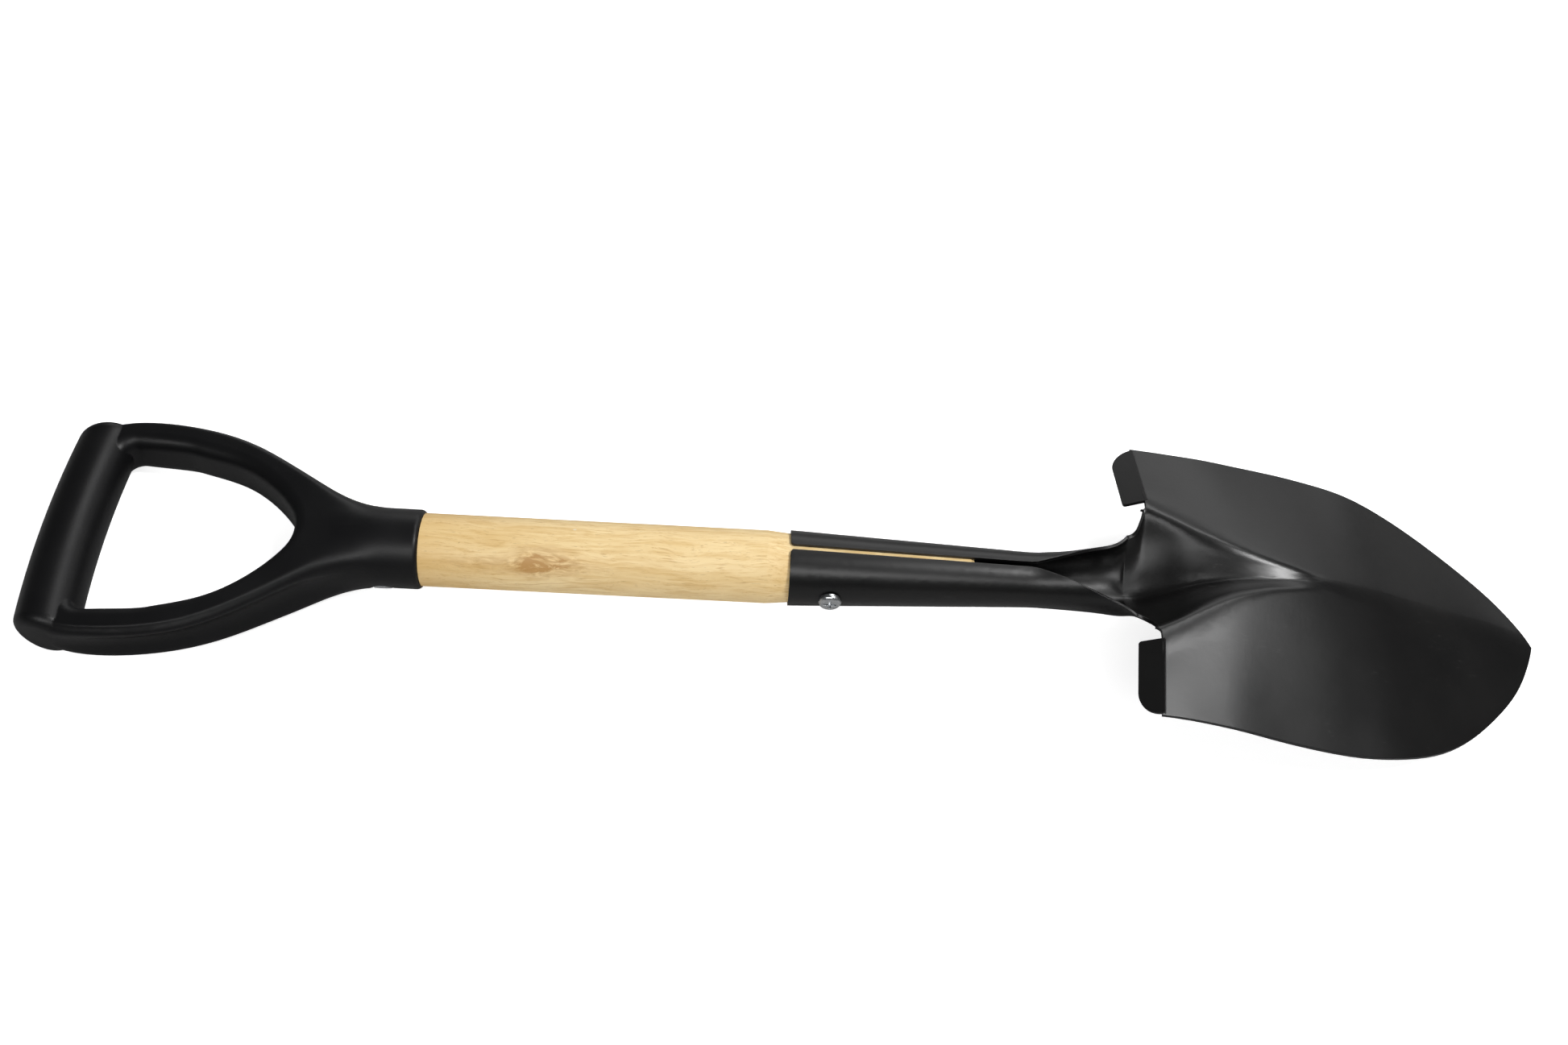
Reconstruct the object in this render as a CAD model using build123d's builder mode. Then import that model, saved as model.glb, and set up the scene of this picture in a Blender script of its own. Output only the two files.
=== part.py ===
from build123d import *
from math import cos, hypot, radians, sin, sqrt
import os

os.makedirs("parts", exist_ok=True)

# Garden spade, short D-grip pattern. Millimetres.
# The shaft axis is X, with the blade's point at +X and the grip at -X.
# +Z is the blade's back: the socket seam and the hollow behind the blade open upwards.
# The origin is on the shaft axis, at the middle of the bare wood between grip and socket.

# ---- driving dimensions ----------------------------------------------------
bare_length = 149.0          # full-diameter wood between the grip's rim and the socket's taper
shaft_radius = 16.0
taper_length = 10.0          # wood turned down to enter the socket
tenon_radius = 14.5          # wood inside the grip's socket
tenon_length = 34.0
wood_in_socket = 80.0
wood_chamfer = 1.5

# ---- grip ------------------------------------------------------------------
grip_socket_radius = 17.4
rim_rounding = 2.2
collar_end = -85.5           # the collar round the wood is a plain cylinder as far as this
bar_x = -226.2               # crossbar's centre on the shaft's axis
bar_bow = 4.0                # how far its ends curve back towards the shaft
bar_radius = 12.9
bar_end = 55.2               # half-length of the crossbar
bar_overrun = 6.0            # how far the crossbar is swept past its trimmed ends
bar_end_rounding = 5.0
bar_end_line = [(-205, 55.0), (-224, 54.0), (-245, 47.0)]  # flank of the trimmed end, in plan
# Yoke sections: x, half width, half depth, corner radius, depth of the groove along each flank,
# and how far the section has turned from a circle (0) into a flat arm with corners (1).
yoke = [
    (collar_end, grip_socket_radius, grip_socket_radius, 0, 0, 0),
    (-88.5, grip_socket_radius, grip_socket_radius, 0, 0, 0),
    (-100, 17.6, 16.5, 7.0, 0.2, 0.3),
    (-112, 20.7, 15.0, 6.0, 1.2, 0.75),
    (-124, 26.8, 13.9, 5.0, 2.4, 1),
    (-138, 35.8, 12.8, 4.5, 2.8, 1),
    (-152, 44.2, 12.0, 4.5, 2.8, 1),
    (-166, 50.4, 11.3, 4.5, 2.6, 1),
    (-182, 54.4, 11.1, 4.5, 2.2, 1),
    (-200, 56.2, 11.1, 4.5, 1.5, 1),
    (-214, 55.8, 10.6, 5.0, 0.6, 1),
    (-226, 52.6, 8.6, 5.0, 0, 1),
]
top_points = 4               # points along half of a section's top, and the angles of those round its corner
corner_angles = (0, 30, 60, 90)
groove_share = 0.75          # depth of the groove halfway to its middle, as a share
grip_opening = [(-129.5, 0), (-133.5, 11.5), (-147, 25.6), (-161.7, 34.4), (-179, 39.6), (-200, 42.4)]
opening_half_width = 42.9    # beside the crossbar
opening_lean = 0.06          # slope of the opening's sides there
opening_rounding = 6.0
corner_web = 5.5             # radius in the opening's corners beside the crossbar

sheet = 1.5                  # thickness of the pressed steel
steep_limit = 1.3            # most a section is thickened where the sheet climbs along X
rim_x = -bare_length / 2     # grip's rim
mouth_x = bare_length / 2 + taper_length  # socket's mouth

# ---- socket ----------------------------------------------------------------
socket_mouth_radius = 16.55  # outside
socket_draft = 0.0419        # loss of radius per millimetre
cone_length = 92.0           # part of the socket that is a true cone
slot_lead = 2.2              # radius of the seam's corners at the mouth
slot_lead_end = 1.0          # half-width where those corners start

# ---- screws ----------------------------------------------------------------
screw_radius = 2.2
screw_length = 20.0
screw_head_radius = 5.0
screw_head_height = 2.6
screw_head_rounding = 1.8
screw_seat_radius = 5.6
recess_length = 5.4
recess_width = 1.1
recess_depth = 1.5
recess_taper = 8
socket_screw_x = mouth_x + 18.0
socket_screw_seat = 15.8     # head's underside, from the shaft's axis
grip_screw_x = rim_x - 17.0
grip_screw_seat = 15.0
grip_screw_tilt = 36.0       # the grip's screw points this far below the horizontal

# ---- blade -----------------------------------------------------------------
# Distances below are measured from the socket's mouth along +X.
join = 149.2                 # where the rolled socket meets the pressed blade
blade_tip = 343.5
overhang = 80.0              # half-width of the untrimmed sheet
reach_past = 60.0            # how far trimming shapes run past the sheet
clear_height = 30.0          # above everything at the throat
clearance = 1.0              # how far a cut starts outside the metal


def through(u, knots):
    """Smooth curve through (u, value) knots, with straight ends."""
    if u <= knots[0][0]:
        lower, upper = knots[0], knots[1]
        return lower[1] + (u - lower[0]) * (upper[1] - lower[1]) / (upper[0] - lower[0])
    if u >= knots[-1][0]:
        lower, upper = knots[-2], knots[-1]
        return upper[1] + (u - upper[0]) * (upper[1] - lower[1]) / (upper[0] - lower[0])
    i = max(n for n in range(len(knots) - 1) if knots[n][0] <= u)

    def slope(n):
        a = knots[max(n - 1, 0)]
        b = knots[min(n + 1, len(knots) - 1)]
        return (b[1] - a[1]) / (b[0] - a[0])

    width = knots[i + 1][0] - knots[i][0]
    t = (u - knots[i][0]) / width
    return (
        (1 + 2 * t) * (1 - t) ** 2 * knots[i][1]
        + t * (1 - t) ** 2 * width * slope(i)
        + t**2 * (3 - 2 * t) * knots[i + 1][1]
        + t**2 * (t - 1) * width * slope(i + 1)
    )


# Height of the line where the two side panels would meet, and their fall per millimetre of width.
crown = [(143, 21.4), (170, 20.5), (196, 18.0), (225, 11.7)]
crown += [(252, 2.8), (290, -13.2), (322, -24.6), (345, -34.2)]
fall = [(143, 0.17), (156, 0.18), (183, 0.227), (210, 0.271), (240, 0.27)]
fall += [(267, 0.232), (290, 0.23), (322, 0.262), (345, 0.262)]
# The hollow behind the blade: height of its floor, its half-width, how far its wall turns, in degrees,
# and how far its round wall is straightened into the side of a V (0 to 1).
floor = [(143, -10.6), (153, -10.2), (158, -8.2), (165, -4.2), (176, 2.4)]
floor += [(190, 7.6), (204, 9.6), (220, 9.8), (232, 9.0)]
hollow = [(143, 22.0), (149, 24.6), (153, 27.2), (156.3, 29.8), (158, 29.6), (163, 27.4)]
hollow += [(176, 20.7), (190, 14.1), (203, 9.7), (218, 6.2), (232, 4.4), (245, 6.0), (290, 10.0), (345, 10.0)]
turn = [(143, 56), (156, 50), (176, 45), (203, 45), (225, 28), (236, 12), (345, 12)]
vee = [(143, 0.3), (156, 0.45), (166, 0.5), (180, 0.8), (200, 0.9), (220, 0.9), (230, 0), (345, 0)]
# Length of the rounding along each side of the hollow's rim, and its largest share of the half-width.
rim_softness = [(143, 9.0), (150, 9.0), (155, 7.0), (160, 5.0), (170, 5.0), (345, 5.0)]
rim_share = 0.3
wall_share = 0.9             # share of that rounding taken from the hollow's wall
ridge_start = 222.0          # the hollow's floor starts to rise into the ridge
hollow_end = 236.0           # from here on the panels meet in a soft ridge
step_bend = 24.0             # degrees the foot steps are turned forward
step_depth = 10.0            # crease to the step's rear edge
step_corner_radius = 9.0
step_tuck = 1.2              # how far a step runs forward under the panel
step_inset = 0.8             # a step stops this far short of the blade's side edge
step_skew = 1.2              # its inner end leans outwards by this much
step_inner_radius = 1.5

# Notch between the hollow's rim and the foot step, and the step's outline: (from mouth, from centre).
notch_inner = 30.8
notch_radius = 2.4
notch_floor = 157.0
crease_inner = (157.0, 36.0)
side_edge = [(154.7, 69.6), (190, 71.0), (228, 72.8), (260, 70.3)]
side_edge += [(292, 58.6), (318, 38.4), (334, 19.5), (blade_tip, 0)]
point_angle = 22.0           # the edge meets the centre line this far off square
throat = [(join, 7.5), (151.4, 7.3), (153, 7.9), (154.6, 10.2), (155.5, 12.4), (156.4, 17.5)]
# Rolled part: inside radius, height of the inside bottom, half-angle left open at the top.
cone_end = socket_mouth_radius - sheet - socket_draft * cone_length
bore = [(cone_length, cone_end), (98, 10.944), (105, 10.7)]
bore += [(119, 11.3), (134, 12.9), (141, 14.3), (join, 18.0)]
keel = [(cone_length, -cone_end), (98, -10.944), (106, -10.7), (149, -10.6)]
seam = [(0, 4.6), (98, 5.9), (105, 6.5), (119, 27), (134, 59), (141, 74), (join, 86)]

# Cross-sections of the pressed sheet, closer together where it bends quickly.
stations = [join, 151, 152.8, 154.6, 156.4, 158.5, 162, 167, 173, 180, 188]
stations += [196, 204, 212, 220, 228, 236, 244, 254, 266, 280, 296, 314, 330, 345]
flare_stations = [cone_length, 93.2, 94.8, 98, 105, 112, 119, 126, 134, 141]
wall_points = 6              # spans along half of the hollow, and along a side panel
panel_points = 6
rim_steps = (0.35, 0.65)     # where the rounding of the rim is sampled
slope_reach = 0.2            # length over which a slope along X is measured


def flat_panel(u, y):
    """Height of the side panel."""
    return through(u, crown) - through(u, fall) * y


def half_section(u):
    """Points of the sheet's back surface from the centre line to the overhanging edge."""
    rim_y = through(u, hollow)
    rim_z = flat_panel(u, rim_y)
    if u < hollow_end:
        low = through(u, floor)
        blend = min(max((u - ridge_start) / (hollow_end - ridge_start), 0), 1)
        low = low * (1 - blend) + blend * (rim_z + through(u, fall) * rim_y / 2)
    else:
        low = rim_z + through(u, fall) * rim_y / 2
    angle = radians(through(u, turn))
    soft = min(through(u, rim_softness), rim_y * rim_share)
    cut = 1 - soft / hypot(rim_y, rim_z - low) * wall_share
    points = []
    for i in range(wall_points + 1):
        a = angle * cut * i / wall_points
        y = rim_y * sin(a) / sin(angle)
        bowl = (1 - cos(a)) / (1 - cos(angle))
        points.append((y, low + (rim_z - low) * (bowl + through(u, vee) * (y / rim_y - bowl))))
    start = points[-1]
    end = (rim_y + soft, flat_panel(u, rim_y + soft))
    rim = (rim_y, rim_z)
    for t in rim_steps:
        shares = ((1 - t) ** 2, 2 * t * (1 - t), t**2)
        points.append(tuple(sum(w * p[k] for w, p in zip(shares, (start, rim, end))) for k in range(2)))
    for i in range(panel_points + 1):
        y = end[0] + (overhang - end[0]) * i / panel_points
        points.append((y, flat_panel(u, y)))
    return points


def in_plane_offset(u, distance):
    """The half section moved along the surface's normal, kept in the plane of the section."""
    here = half_section(u)
    ahead = half_section(u + slope_reach)
    result = []
    for i, (y, z) in enumerate(here):
        before = here[i - 1] if i else (-here[1][0], here[1][1])
        after = here[min(i + 1, len(here) - 1)]
        ty, tz = after[0] - before[0], after[1] - before[1]
        length = hypot(ty, tz)
        ty, tz = ty / length, tz / length
        # Slope of the sheet along X, seen square to the section's own line.
        rise = ((ahead[i][1] - z) * ty - (ahead[i][0] - y) * tz) / slope_reach
        reach = distance * min(sqrt(1 + rise * rise), steep_limit)
        result.append((y + tz * reach, z - ty * reach))
    return result


# Spline parameters of a whole section, the same for every section so that the loft stays even.
spans = [0.5] * wall_points + [0.3] * (len(rim_steps) + 1) + [0.9] * panel_points
half_run = [sum(spans[:i]) / sum(spans) / 2 for i in range(len(spans) + 1)]
pace = [0.5 - v for v in reversed(half_run[1:])] + [0.5 + v for v in half_run]


def mirrored(points):
    return [(-y, z) for y, z in reversed(points[1:])] + points


def station(u):
    return Plane.YZ.offset(mouth_x + u)


# ---- pressed blade ---------------------------------------------------------
with BuildPart() as pressed:
    for u in stations:
        back = mirrored(half_section(u))
        front = mirrored(in_plane_offset(u, sheet))
        with BuildSketch(station(u)):
            with BuildLine():
                add(Edge.make_spline([(y, z, 0) for y, z in back], parameters=pace))
                Line(back[-1], front[-1])
                add(Edge.make_spline([(y, z, 0) for y, z in reversed(front)], parameters=pace))
                Line(front[0], back[0])
            make_face()
    loft()
    # Plan outline: neck, notch, foot step, side edge and point.
    with BuildSketch(Plane((mouth_x, 0, -reach_past))):
        with BuildLine():
            neck = Line((join, 0), (join, notch_inner))
            cheek = Line(neck @ 1, (notch_floor - notch_radius, notch_inner))
            notch = RadiusArc(cheek @ 1, (notch_floor, notch_inner + notch_radius), -notch_radius)
            crease = Polyline(notch @ 1, crease_inner, side_edge[0])
            towards_point = (sin(radians(point_angle)), -cos(radians(point_angle)))
            side = Spline(*side_edge, tangents=[(1, 0), towards_point])
            mirror(about=Plane.XZ)
        make_face()
    extrude(amount=2 * reach_past, mode=Mode.INTERSECT)
    # Side outline: the open throat falls below the rims of the hollow.
    with BuildSketch(Plane((mouth_x, notch_inner, 0), x_dir=(1, 0, 0), z_dir=(0, -1, 0))):
        with BuildLine():
            lip = Spline(*throat)
            ahead, behind = throat[-1][0], join - clearance
            Polyline(lip @ 1, (ahead, clear_height), (behind, clear_height), (behind, throat[0][1]), lip @ 0)
        make_face()
    extrude(amount=2 * notch_inner, mode=Mode.SUBTRACT)

# ---- rolled socket ---------------------------------------------------------
throat_face = pressed.part.faces().filter_by(Axis.X).sort_by(Axis.X)[0]


def band(inner, centre, gap):
    """Cross-section of the rolled sheet: a ring open at the top by the given half-angle."""
    opening = radians(gap)
    outer = inner + sheet
    ends = [(r * sin(opening), centre + r * cos(opening)) for r in (inner, outer)]
    ThreePointArc(ends[0], (0, centre - inner), (-ends[0][0], ends[0][1]))
    Line((-ends[0][0], ends[0][1]), (-ends[1][0], ends[1][1]))
    ThreePointArc((-ends[1][0], ends[1][1]), (0, centre - outer), ends[1])
    Line(ends[1], ends[0])


with BuildPart() as cone:
    for u in (0, cone_length):
        inner = socket_mouth_radius - sheet - socket_draft * u
        with BuildSketch(station(u)):
            with BuildLine():
                band(inner, 0, through(u, seam))
            make_face()
    loft(ruled=True)
    # The seam widens into rounded corners at the mouth.
    with BuildSketch(Plane((mouth_x, 0, 0))):
        with BuildLine():
            lead = slot_lead_end + slot_lead
            upper = CenterArc((slot_lead, lead), slot_lead, 180, 90)
            Line(upper @ 1, (slot_lead, -slot_lead_end))
            lower = CenterArc((slot_lead, -lead), slot_lead, 90, 90)
            Polyline(lower @ 1, (-clearance, -lead), (-clearance, lead), upper @ 0)
        make_face()
    extrude(amount=2 * shaft_radius, mode=Mode.SUBTRACT)
    with BuildSketch(Plane((socket_screw_x, -shaft_radius - sheet, 0), z_dir=(0, 1, 0))):
        Circle(screw_radius)
    extrude(amount=shaft_radius, mode=Mode.SUBTRACT)

with BuildPart() as flare:
    for u in flare_stations:
        inner = through(u, bore)
        with BuildSketch(station(u)):
            with BuildLine():
                band(inner, inner + through(u, keel), through(u, seam))
            make_face()
    add(throat_face)
    loft()

# ---- foot steps ------------------------------------------------------------
crease_ends = [Vector(mouth_x + u, y, flat_panel(u, y)) for u, y in (crease_inner, side_edge[0])]
crease_run = crease_ends[1] - crease_ends[0]
level_back = Vector(-1, 0, 0)
across = crease_run.normalized()
square_back = (level_back - across * level_back.dot(across)).normalized()
step_back = square_back.rotate(Axis((0, 0, 0), across), -step_bend)
with BuildPart() as step:
    with BuildSketch(Plane(crease_ends[0], x_dir=across, z_dir=across.cross(step_back))):
        with BuildLine():
            Polyline(
                (0, -step_tuck),
                (0, 0),
                (step_skew, step_depth),
                (crease_run.length - step_inset, step_depth),
                (crease_run.length - step_inset, -step_tuck),
                (0, -step_tuck),
            )
        make_face()
        outer_corner = (crease_run.length - step_inset, step_depth)
        fillet(vertices().sort_by_distance(outer_corner)[0], step_corner_radius)
        fillet(vertices().sort_by_distance((step_skew, step_depth))[0], step_inner_radius)
    extrude(amount=-sheet)

with BuildPart() as blade:
    add(pressed.part)
    add(step.part)
    add(mirror(step.part, about=Plane.XZ))
    add(flare.part)
    add(cone.part)

# ---- screw axes ------------------------------------------------------------
def screw_plane(x, seat, tilt):
    """Plane under a screw's head, looking out along its axis."""
    outward = Vector(0, -cos(radians(tilt)), -sin(radians(tilt)))
    return Plane(Vector(x, 0, 0) + outward * seat, x_dir=(1, 0, 0), z_dir=outward)


screw_planes = [screw_plane(socket_screw_x, socket_screw_seat, 0)]
screw_planes += [screw_plane(grip_screw_x, grip_screw_seat, grip_screw_tilt)]

# ---- shaft -----------------------------------------------------------------
mouth_bore = socket_mouth_radius - sheet
wood_end = mouth_x + wood_in_socket
with BuildPart() as shaft:
    with BuildSketch(Plane.XZ):
        with BuildLine():
            Polyline(
                (rim_x - tenon_length, 0),
                (rim_x - tenon_length, tenon_radius - wood_chamfer),
                (rim_x - tenon_length + wood_chamfer, tenon_radius),
                (rim_x, tenon_radius),
                (rim_x, shaft_radius),
                (mouth_x - taper_length, shaft_radius),
                (mouth_x, mouth_bore),
                (wood_end - wood_chamfer, mouth_bore - socket_draft * (wood_in_socket - wood_chamfer)),
                (wood_end, mouth_bore - socket_draft * wood_in_socket - wood_chamfer),
                (wood_end, 0),
                (rim_x - tenon_length, 0),
            )
        make_face()
    revolve(axis=Axis.X)
    for under_head in screw_planes:
        with BuildSketch(under_head):
            Circle(screw_radius)
        extrude(amount=-screw_length, mode=Mode.SUBTRACT)

# ---- grip ------------------------------------------------------------------
def yoke_quarter(half_width, half_depth, rounding, groove, squareness):
    """Quarter of a yoke section, from the middle of its top to the middle of its flank."""
    flat = half_width - rounding
    side = half_depth - rounding
    arm = [(flat * i / top_points, half_depth) for i in range(top_points)]
    arm += [(flat + rounding * sin(radians(a)), side + rounding * cos(radians(a))) for a in corner_angles]
    arm += [(half_width - groove * groove_share, side / 2), (half_width - groove, 0)]
    turns = [radians(90) * i / (len(arm) - 1) for i in range(len(arm))]
    ring = [(half_width * sin(a), half_depth * cos(a)) for a in turns]
    return [tuple((1 - squareness) * r[k] + squareness * a[k] for k in range(2)) for r, a in zip(ring, arm)]


with BuildPart() as crossbar:
    with BuildLine():
        bar_tip = bar_end + bar_overrun
        bow = ThreePointArc((bar_x + bar_bow, -bar_tip), (bar_x, 0), (bar_x + bar_bow, bar_tip))
    with BuildSketch(Plane(bow @ 0, z_dir=bow % 0)):
        Circle(bar_radius)
    sweep()
    # Its ends are cut to the line of the flanks and rounded.
    with BuildSketch(Plane.XY.offset(-2 * bar_radius)):
        with BuildLine():
            flush = Spline(*bar_end_line)
            Polyline(flush @ 0, (bar_end_line[0][0], 0))
            Polyline(flush @ 1, (bar_end_line[-1][0], 0))
            mirror(about=Plane.XZ)
        make_face()
    extrude(amount=4 * bar_radius, mode=Mode.INTERSECT)
    ends = faces().filter_by(lambda f: abs(f.center().Y) > bar_end / 2)
    fillet(ends.edges(), bar_end_rounding)

with BuildPart() as half_yoke:
    # Round at the collar, spreading and flattening towards the crossbar.
    for x, *shape in yoke:
        quarter = yoke_quarter(*shape)
        flank = quarter + [(y, -z) for y, z in reversed(quarter[:-1])]
        pacing = [i / (len(flank) - 1) for i in range(len(flank))]
        with BuildSketch(Plane.YZ.offset(x)):
            with BuildLine():
                if shape[-1]:
                    spots = [(y, z, 0) for y, z in flank]
                    add(Edge.make_spline(spots, [(1, 0), (-1, 0)], parameters=pacing))
                else:
                    ThreePointArc(flank[0], (shape[0], 0), flank[-1])
                Line(flank[-1], flank[0])
            make_face()
    loft()

with BuildPart() as grip:
    add(half_yoke.part)
    mirror(about=Plane.XZ)
    # Collar and socket for the shaft.
    with BuildSketch(Plane.YZ.offset(collar_end)):
        Circle(grip_socket_radius)
    extrude(amount=rim_x - collar_end)
    fillet(edges().filter_by(GeomType.CIRCLE).group_by(Axis.X)[-1], rim_rounding)
    with BuildSketch(Plane.YZ.offset(rim_x)):
        Circle(tenon_radius)
    extrude(amount=-tenon_length, mode=Mode.SUBTRACT)
    # Sunk seat and pilot hole for the screw.
    with BuildSketch(screw_planes[-1]):
        Circle(screw_seat_radius)
    extrude(amount=grip_socket_radius, mode=Mode.SUBTRACT)
    with BuildSketch(screw_planes[-1]):
        Circle(screw_radius)
    extrude(amount=-grip_screw_seat, mode=Mode.SUBTRACT)
    # The opening for the hand, with rounded edges.
    with BuildSketch(Plane.XY.offset(-2 * bar_radius)):
        with BuildLine():
            inside = Spline(*grip_opening, tangents=[(0, 1), (-1, opening_lean)])
            run = Line(inside @ 1, (bar_x + bar_radius + corner_web, opening_half_width))
            web = RadiusArc(run @ 1, run @ 1 - Vector(corner_web, corner_web), -corner_web)
            Polyline(web @ 1, (bar_x, (web @ 1).Y), (bar_x, 0))
            mirror(about=Plane.XZ)
        make_face()
    extrude(amount=4 * bar_radius, mode=Mode.SUBTRACT)
    brinks = edges(Select.LAST).filter_by(lambda e: abs(e.center().Z) > opening_rounding)
    brinks = brinks.filter_by(lambda e: abs(e.center().Y) > corner_web)
    fillet(brinks.filter_by(lambda e: e.center().X > bar_x + bar_radius - opening_rounding), opening_rounding)
    add(crossbar.part)

# ---- screws ----------------------------------------------------------------
with BuildPart() as screws:
    for head in screw_planes:
        with BuildSketch(head):
            Circle(screw_head_radius)
        extrude(amount=screw_head_height)
        brow = edges(Select.LAST).filter_by(GeomType.CIRCLE).sort_by(Axis(head.origin, head.z_dir))[-1]
        fillet(brow, screw_head_rounding)
        with BuildSketch(head.offset(screw_head_height)):
            Rectangle(recess_length, recess_width)
            Rectangle(recess_width, recess_length)
        extrude(amount=-recess_depth, taper=recess_taper, mode=Mode.SUBTRACT)
        with BuildSketch(head):
            Circle(screw_radius)
        extrude(amount=-screw_length)

blade.part.label = "blade"
shaft.part.label = "shaft"
grip.part.label = "grip"
screws.part.label = "screws"
export_step(blade.part, "parts/blade.step")
export_step(shaft.part, "parts/shaft.step")
export_step(grip.part, "parts/grip.step")
export_step(screws.part, "parts/screws.step")
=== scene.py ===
"""Looks, stage, light and camera for the garden spade, in metres, in the part's own frame.

X runs along the shaft towards the blade's point, and Z is up, on the blade's back.
"""

import math

import bpy
from mathutils import Matrix, Vector

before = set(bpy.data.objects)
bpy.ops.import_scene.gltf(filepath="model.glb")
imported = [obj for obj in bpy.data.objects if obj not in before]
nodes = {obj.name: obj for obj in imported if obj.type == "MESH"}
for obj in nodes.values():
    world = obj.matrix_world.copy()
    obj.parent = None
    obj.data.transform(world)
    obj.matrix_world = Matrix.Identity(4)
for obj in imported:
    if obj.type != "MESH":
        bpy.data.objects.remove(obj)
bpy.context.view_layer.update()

WHITE = (1, 1, 1, 1)

# ---- camera: seen from above, from the -Y side, blade to the right -----------
CAMERA_AT = Vector((0.0665, -0.398, 0.580))
YAW, PITCH, ROLL = (math.radians(a) for a in (2.04, 53.92, 4.55))
FOCAL_PX, WIDTH_PX, SENSOR_MM = 1995.0, 1946.0, 36.0
NEAR_CLIP = 0.01


def make_camera():
    forward = Vector((math.sin(YAW) * math.cos(PITCH), math.cos(YAW) * math.cos(PITCH), -math.sin(PITCH)))
    level = Vector((math.cos(YAW), -math.sin(YAW), 0))
    above = level.cross(forward)
    right = level * math.cos(ROLL) + above * math.sin(ROLL)
    up = -level * math.sin(ROLL) + above * math.cos(ROLL)
    data = bpy.data.cameras.new("camera")
    data.sensor_width = SENSOR_MM
    data.lens = FOCAL_PX / WIDTH_PX * SENSOR_MM
    data.clip_start = NEAR_CLIP
    cam = bpy.data.objects.new("camera", data)
    turn = Matrix((right, up, -forward)).transposed().to_4x4()
    cam.matrix_world = Matrix.Translation(CAMERA_AT) @ turn
    bpy.context.scene.collection.objects.link(cam)
    bpy.context.scene.camera = cam


# ---- looks -------------------------------------------------------------------
BEVEL_SAMPLES = 6


class Look:
    """A node material built up in object coordinates, which are metres in the part's frame."""

    def __init__(self, name, **values):
        self.mat = bpy.data.materials.new(name)
        self.mat.use_nodes = True
        self.shader = self.mat.node_tree.nodes["Principled BSDF"]
        self.place = self.node("TexCoord").outputs["Object"]
        for key, value in values.items():
            self.shader.inputs[key.replace("_", " ")].default_value = value

    def node(self, kind, inputs=None, **settings):
        made = self.mat.node_tree.nodes.new("ShaderNode" + kind)
        for key, value in settings.items():
            setattr(made, key, value)
        for key, value in (inputs or {}).items():
            if isinstance(value, bpy.types.NodeSocket):
                self.mat.node_tree.links.new(value, made.inputs[key])
            else:
                made.inputs[key].default_value = value
        return made

    def put(self, key, value):
        self.mat.node_tree.links.new(value, self.shader.inputs[key])

    def stretch(self, scale, turn=(0, 0, 0), shift=(0, 0, 0)):
        inputs = {"Vector": self.place, "Scale": scale, "Rotation": turn, "Location": shift}
        return self.node("Mapping", inputs).outputs["Vector"]

    def noise(self, cells, detail, rough=0.55, warp=0.0, turn=(0, 0, 0), shift=(0, 0, 0), output="Fac"):
        """Noise with so many cells to the metre, the same every way or along each axis."""
        scale = cells if isinstance(cells, tuple) else (cells, cells, cells)
        place = self.stretch(scale, turn, shift)
        inputs = {"Vector": place, "Scale": 1.0, "Detail": detail, "Roughness": rough, "Distortion": warp}
        return self.node("TexNoise", inputs).outputs[output]

    def span(self, value, low, high, to_low=0.0, to_high=1.0):
        inputs = {"Value": value, "From Min": low, "From Max": high, "To Min": to_low, "To Max": to_high}
        return self.node("MapRange", inputs).outputs["Result"]

    def plus(self, a, b):
        return self.node("Math", {0: a, 1: b}, operation="ADD").outputs[0]

    def times(self, a, b):
        """Product held between 0 and 1."""
        return self.node("Math", {0: a, 1: b}, operation="MULTIPLY", use_clamp=True).outputs[0]

    def vector(self, operation, a, b):
        return self.node("VectorMath", {0: a, 1: b}, operation=operation).outputs[0]

    def mix(self, amount, a, b):
        made = self.node("Mix", {0: amount, 6: a, 7: b}, data_type="RGBA")
        return made.outputs[2]

    def tint(self, colour, over, where, low, high, most):
        """A colour laid over another as a pattern passes from low to high, up to a share of most."""
        return self.mix(self.span(where, low, high, to_high=most), colour, over)

    def near(self, centre, radii, soft=1.0):
        """1 at the centre of an ellipsoid, falling to 0 at its surface."""
        shift = tuple(-c / r for c, r in zip(centre, radii))
        moved = self.stretch(tuple(1 / r for r in radii), shift=shift)
        reach = self.node("VectorMath", {0: moved}, operation="LENGTH").outputs["Value"]
        return self.span(reach, 1.0, 1.0 - soft)

    def bump(self, height, strength, distance, edge):
        """Surface grain on top of edges that shade as if rounded to the given radius."""
        eased = self.node("Bevel", {"Radius": edge}, samples=BEVEL_SAMPLES).outputs["Normal"]
        inputs = {"Height": height, "Strength": strength, "Distance": distance, "Normal": eased}
        self.put("Normal", self.node("Bump", inputs).outputs["Normal"])


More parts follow.
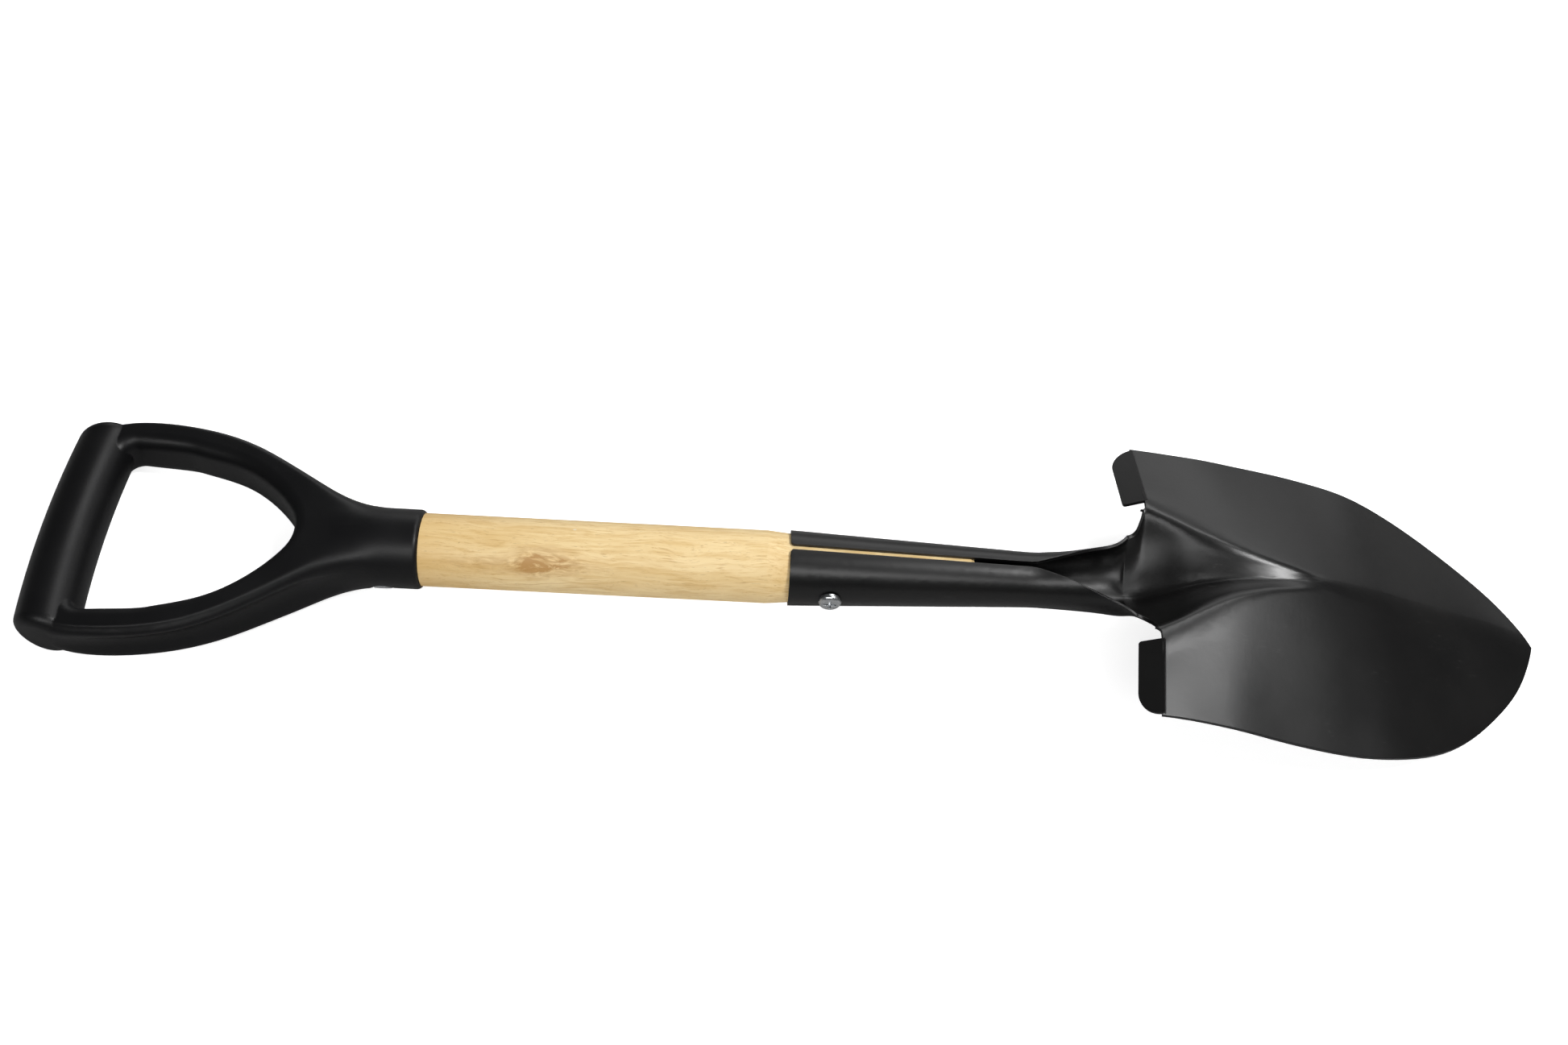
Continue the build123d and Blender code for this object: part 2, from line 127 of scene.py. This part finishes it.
def black_paint():
    """Half-gloss paint with a slight orange peel and a few rubbed patches."""
    deep, faded, rubbed = (0.0026, 0.0026, 0.0028, 1), (0.0042, 0.0040, 0.0039, 1), (0.05, 0.048, 0.045, 1)
    rubbed_share, rubbed_roughness = 0.5, 0.22
    look = Look("black_paint", Specular_IOR_Level=0.5)
    cloud = look.noise(22, detail=5.0)
    peel = look.noise(420, detail=3.0)
    strokes = look.noise((70, 900, 500), detail=5.0, rough=0.7, turn=(0, 0, 1.25))
    patches = look.noise(35, detail=3.0, shift=(3, 1, 0))
    worn = look.times(look.span(strokes, 0.62, 0.7), look.span(patches, 0.55, 0.66))
    base = look.mix(look.span(cloud, 0.3, 0.7), deep, faded)
    look.put("Base Color", look.mix(look.times(worn, rubbed_share), base, rubbed))
    sheen = look.span(cloud, 0.25, 0.75, to_low=0.30, to_high=0.36)
    look.put("Roughness", look.plus(sheen, look.times(worn, rubbed_roughness)))
    look.bump(peel, strength=0.05, distance=0.0004, edge=0.0005)
    return look.mat


def wandering(look):
    """Every pattern after this is read at a place moved aside by a slow noise, so the grain wanders."""
    reach = (0, 0.008, 0.008)
    middle = (0.5, 0.5, 0.5)
    sway = look.noise((30, 60, 60), detail=2.0, rough=0.5, output="Color")
    drift = look.vector("MULTIPLY", look.vector("SUBTRACT", sway, middle), reach)
    look.place = look.vector("ADD", look.place, drift)


def brown_figure(look):
    """A swirl with tails along the grain, on the side of the shaft that faces the camera."""
    knot_share, tail_share, whole_share = 1.1, 0.8, 0.85
    swirl = look.noise((95, 330, 330), detail=5.0, rough=0.65, warp=1.2, shift=(1, 4, 0))
    knot = look.near((-0.0205, -0.0120, 0.0112), (0.0190, 0.0090, 0.0100), soft=0.9)
    tails = look.near((-0.028, -0.0125, 0.0105), (0.046, 0.0042, 0.0065), soft=0.9)
    figure = look.plus(look.times(knot, knot_share), look.times(tails, tail_share))
    figure = look.times(figure, look.span(swirl, 0.34, 0.62))
    return look.times(figure, whole_share)


def shaft_wood():
    """Pale hardwood: soft patches, streaks, short dashes and dark pores, all drawn out along the shaft."""
    cream, straw, honey = (0.93, 0.72, 0.385, 1), (0.70, 0.45, 0.16, 1), (0.55, 0.30, 0.085, 1)
    umber, brown, near_white = (0.30, 0.14, 0.045, 1), (0.47, 0.235, 0.062, 1), (0.9, 0.9, 0.86, 1)
    grip_shade_share, fleck_share = 0.75, 0.8
    look = Look("shaft_wood", Specular_IOR_Level=0.45)
    wandering(look)
    patch = look.noise((20, 110, 110), detail=3.0)
    streak = look.noise((34, 430, 430), detail=6.0, rough=0.62, shift=(2, 7, 1))
    dash = look.noise((85, 1500, 1500), detail=4.0, rough=0.6)
    pore = look.noise((190, 2600, 2600), detail=2.0, shift=(5, 2, 0))
    colour = look.tint(cream, straw, patch, low=0.38, high=0.66, most=0.45)
    colour = look.tint(colour, straw, streak, low=0.46, high=0.70, most=0.75)
    # Painted shade: the wood turns towards straw where it runs into the grip's collar, darkest at the
    # collar's rim.
    painted_shade_by_grip = look.near((-0.092, 0, 0), (0.065, 0.065, 0.065))
    colour = look.mix(look.times(painted_shade_by_grip, grip_shade_share), colour, straw)
    colour = look.tint(colour, honey, dash, low=0.56, high=0.72, most=0.6)
    colour = look.tint(colour, umber, pore, low=0.65, high=0.74, most=0.5)
    colour = look.mix(brown_figure(look), colour, brown)
    # A small near-white spot on top of the shaft, inside the brown figure.
    fleck = look.near((-0.0085, 0.004, 0.0155), (0.0014, 0.0010, 0.0014), soft=0.5)
    colour = look.mix(look.times(fleck, fleck_share), colour, near_white)
    look.put("Base Color", colour)
    look.put("Roughness", look.span(dash, 0.3, 0.8, to_low=0.42, to_high=0.6))
    look.bump(dash, strength=0.22, distance=0.00025, edge=0.0003)
    return look.mat


def black_plastic():
    """Moulded plastic with a fine grain and slight sink marks."""
    deep, faded = (0.0030, 0.0030, 0.0034, 1), (0.0050, 0.0050, 0.0056, 1)
    ripple_gain = 2.0
    look = Look("black_plastic", Specular_IOR_Level=0.33)
    cloud = look.noise(30, detail=4.0)
    grain = look.noise(1500, detail=3.0, rough=0.6)
    ripple = look.noise(90, detail=2.0)
    look.put("Base Color", look.mix(cloud, deep, faded))
    look.put("Roughness", look.span(cloud, 0.3, 0.7, to_low=0.34, to_high=0.44))
    look.bump(look.plus(grain, look.times(ripple, ripple_gain)), strength=0.16, distance=0.00018, edge=0.0012)
    return look.mat


def zinc_plate():
    """Bright plated steel, faintly brushed."""
    dull, bright = (0.52, 0.54, 0.56, 1), (0.80, 0.81, 0.82, 1)
    look = Look("zinc_plate", Metallic=1.0)
    cloud = look.noise(420, detail=5.0)
    brushed = look.noise((900, 6000, 900), detail=3.0)
    look.put("Base Color", look.mix(cloud, dull, bright))
    look.put("Roughness", look.span(cloud, 0.3, 0.7, to_low=0.16, to_high=0.34))
    look.bump(brushed, strength=0.1, distance=0.00006, edge=0.0003)
    return look.mat


def dress(node, mat):
    data = nodes[node].data
    data.materials.clear()
    data.materials.append(mat)
    data.shade_smooth()


# ---- stage: the spade lies on its crossbar and its point ---------------------
UNDER_BAR = Vector((-0.2262, 0, -0.0129))
UNDER_TIP = Vector((0.4275, 0, -0.0360))
FLOOR_HALF = 6.0
FLOOR_TONE, FLOOR_TONE_MIRRORED = (0.88, 0.88, 0.88, 1), (0.32, 0.32, 0.32, 1)
FLOOR_LIFT = 0.75

# Each softbox: its place, what it is aimed at, width and height, and power in watts.
SOFTBOXES = {
    "key": ((0.90, -0.10, 1.40), (0.28, 0, 0), (0.36, 0.36), 17),
    "front": ((-0.2, -1.2, 1.35), (0.0, 0, 0), (1.7, 0.45), 13),
    "back": ((0.6, 2.1, 0.85), (0.3, 0, 0), (3.0, 0.9), 12),
    "sky": ((0.55, 0.90, 1.35), (0.25, 0, 0), (0.7, 0.4), 5),
}
FAINT_FILL, BACKDROP = 0.07, 1.0


def pale_floor():
    """Plain white to the camera, darker in mirror reflections, so that the black pieces stay black."""
    look = Look("pale_floor", Specular_IOR_Level=0.0, Roughness=1.0, Emission_Color=WHITE)
    ray = look.node("LightPath")
    look.put("Base Color", look.mix(ray.outputs["Is Glossy Ray"], FLOOR_TONE, FLOOR_TONE_MIRRORED))
    look.put("Emission Strength", look.times(ray.outputs["Is Camera Ray"], FLOOR_LIFT))
    return look.mat


def make_floor():
    mesh = bpy.data.meshes.new("floor")
    corners = [(-1, -1), (1, -1), (1, 1), (-1, 1)]
    mesh.from_pydata([(x * FLOOR_HALF, y * FLOOR_HALF, 0) for x, y in corners], [], [(0, 1, 2, 3)])
    mesh.materials.append(pale_floor())
    floor = bpy.data.objects.new("floor", mesh)
    lean = UNDER_TIP - UNDER_BAR
    floor.rotation_euler = (0, -math.atan2(lean.z, lean.x), 0)
    floor.location = UNDER_BAR
    bpy.context.scene.collection.objects.link(floor)


def softbox(name, place, aim, size, power):
    data = bpy.data.lights.new(name, "AREA")
    data.shape = "RECTANGLE"
    data.size, data.size_y = size
    data.energy = power
    light = bpy.data.objects.new(name, data)
    light.location = place
    light.rotation_euler = (Vector(aim) - Vector(place)).to_track_quat("-Z", "Y").to_euler()
    bpy.context.scene.collection.objects.link(light)


def make_world():
    """A pale backdrop to the camera, and only a faint fill for everything else."""
    world = bpy.data.worlds.new("world")
    world.use_nodes = True
    net = world.node_tree
    ray = net.nodes.new("ShaderNodeLightPath")
    level = net.nodes.new("ShaderNodeMapRange")
    level.inputs["To Min"].default_value = FAINT_FILL
    level.inputs["To Max"].default_value = BACKDROP
    background = net.nodes["Background"]
    background.inputs["Color"].default_value = WHITE
    net.links.new(ray.outputs["Is Camera Ray"], level.inputs["Value"])
    net.links.new(level.outputs["Result"], background.inputs["Strength"])
    bpy.context.scene.world = world


make_camera()
dress("blade", black_paint())
dress("shaft", shaft_wood())
dress("grip", black_plastic())
dress("screws", zinc_plate())
make_floor()
for name, settings in SOFTBOXES.items():
    softbox(name, *settings)
make_world()
bpy.context.scene.view_settings.view_transform = "Standard"
